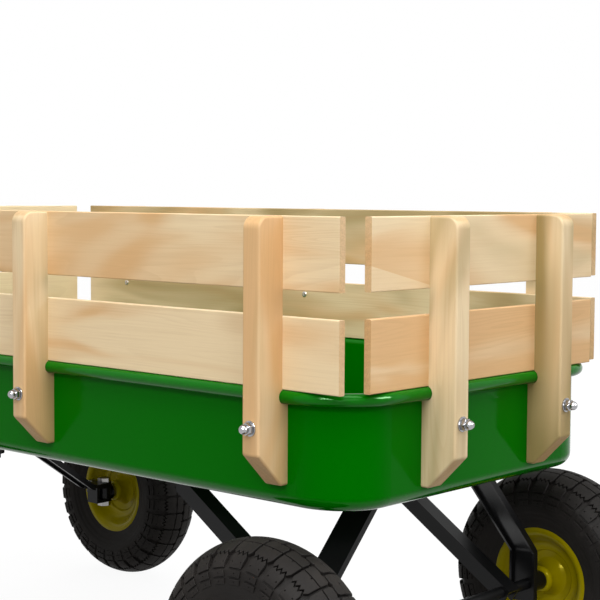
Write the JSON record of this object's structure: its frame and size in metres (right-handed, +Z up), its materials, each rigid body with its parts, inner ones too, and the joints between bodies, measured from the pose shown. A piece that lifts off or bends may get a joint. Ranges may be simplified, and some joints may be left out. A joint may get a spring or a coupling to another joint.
{
  "type": "stake-sided pull wagon",
  "caption": "Small hand-pulled wagon: deep rounded steel tray, pale slatted wooden stake sides, pneumatic tyres, steered front wheels and a long loop-grip pull handle.",
  "frame": {"origin": "on the floor, under the middle of the whole length and width, handle laid down forwards", "axes": "+X towards the wagon's rear, the handle towards -X; +Y across, to the right of someone walking ahead; +Z up"},
  "size_m": [1.8518, 0.5848, 0.5566],
  "materials": {
    "tray_paint": "gloss",
    "wood": "bare",
    "tyre": "matte",
    "rim_paint": "gloss",
    "black_paint": "satin",
    "zinc": "zinc plated",
    "grip": "matte"
  },
  "bodies": {
    "wagon": {"end_front_slat_lower": "wood", "end_front_slat_upper": "wood", "end_front_stake_left": "wood", "end_front_stake_right": "wood", "end_rear_slat_lower": "wood", "end_rear_slat_upper": "wood", "end_rear_stake_left": "wood", "end_rear_stake_right": "wood", "front_beam": "black_paint", "front_saddle": "black_paint", "front_yokes": "black_paint", "kingpins": "zinc", "lever_bolt": "zinc", "rear_axle": "zinc", "rear_axle_nuts": "zinc", "rear_brace_left": "black_paint", "rear_brace_right": "black_paint", "rear_carrier": "black_paint", "rear_spacers": "black_paint", "side_left_slat_lower": "wood", "side_left_slat_upper": "wood", "side_left_stake_front": "wood", "side_left_stake_middle": "wood", "side_left_stake_rear": "wood", "side_right_slat_lower": "wood", "side_right_slat_upper": "wood", "side_right_stake_front": "wood", "side_right_stake_middle": "wood", "side_right_stake_rear": "wood", "steering_post": "black_paint", "tray": "tray_paint"},
    "knuckle_left": {"knuckle_left": "zinc", "front_spacer_left": "zinc", "front_axle_nut_left": "zinc"},
    "knuckle_right": {"knuckle_right": "zinc", "front_spacer_right": "zinc", "front_axle_nut_right": "zinc"},
    "tie_rod": {"tie_rod": "black_paint", "tie_rod_pins": "zinc"},
    "steering_lever": {"steering_lever": "black_paint", "handle_pin": "zinc"},
    "handle": {"handle_shaft": "black_paint", "grip_loop": "black_paint", "grip_sleeve": "grip"},
    "wheel_rear_left": {"tyre_rear_left": "tyre", "rim_rear_left": "rim_paint"},
    "wheel_rear_right": {"tyre_rear_right": "tyre", "rim_rear_right": "rim_paint"},
    "wheel_front_left": {"tyre_front_left": "tyre", "rim_front_left": "rim_paint"},
    "wheel_front_right": {"tyre_front_right": "tyre", "rim_front_right": "rim_paint"}
  },
  "joints": [
    {"name": "steering", "type": "hinge", "parent": "wagon", "child": "steering_lever", "pos_m": [0.03931, 0, 0.21747], "axis": [0, 0, 1], "range_deg": [-30, 30]},
    {"name": "steer_left", "type": "hinge", "parent": "wagon", "child": "knuckle_left", "pos_m": [0.03931, -0.203, 0.127], "axis": [0, 0, 1], "range_deg": [-30, 30]},
    {"name": "steer_right", "type": "hinge", "parent": "wagon", "child": "knuckle_right", "pos_m": [0.03931, 0.203, 0.127], "axis": [0, 0, 1], "range_deg": [-30, 30]},
    {"name": "tie_rod_swing", "type": "hinge", "parent": "steering_lever", "child": "tie_rod", "pos_m": [0.01131, 0, 0.21747], "axis": [0, 0, 1], "range_deg": [-30, 30]},
    {"name": "handle_pitch", "type": "hinge", "parent": "steering_lever", "child": "handle", "pos_m": [-0.11069, 0, 0.22597], "axis": [0, 1, 0], "range_deg": [0, 104]},
    {"name": "spin_rear_left", "type": "hinge", "parent": "wagon", "child": "wheel_rear_left", "pos_m": [0.79891, -0.248, 0.127], "axis": [0, 1, 0], "continuous": true},
    {"name": "spin_rear_right", "type": "hinge", "parent": "wagon", "child": "wheel_rear_right", "pos_m": [0.79891, 0.248, 0.127], "axis": [0, 1, 0], "continuous": true},
    {"name": "spin_front_left", "type": "hinge", "parent": "knuckle_left", "child": "wheel_front_left", "pos_m": [0.03931, -0.248, 0.127], "axis": [0, 1, 0], "continuous": true},
    {"name": "spin_front_right", "type": "hinge", "parent": "knuckle_right", "child": "wheel_front_right", "pos_m": [0.03931, 0.248, 0.127], "axis": [0, 1, 0], "continuous": true}
  ],
  "couplings": [
    {"joint": "steer_left", "follows": "steering", "ratio": 1},
    {"joint": "steer_right", "follows": "steering", "ratio": 1},
    {"joint": "tie_rod_swing", "follows": "steering", "ratio": -1}
  ]
}
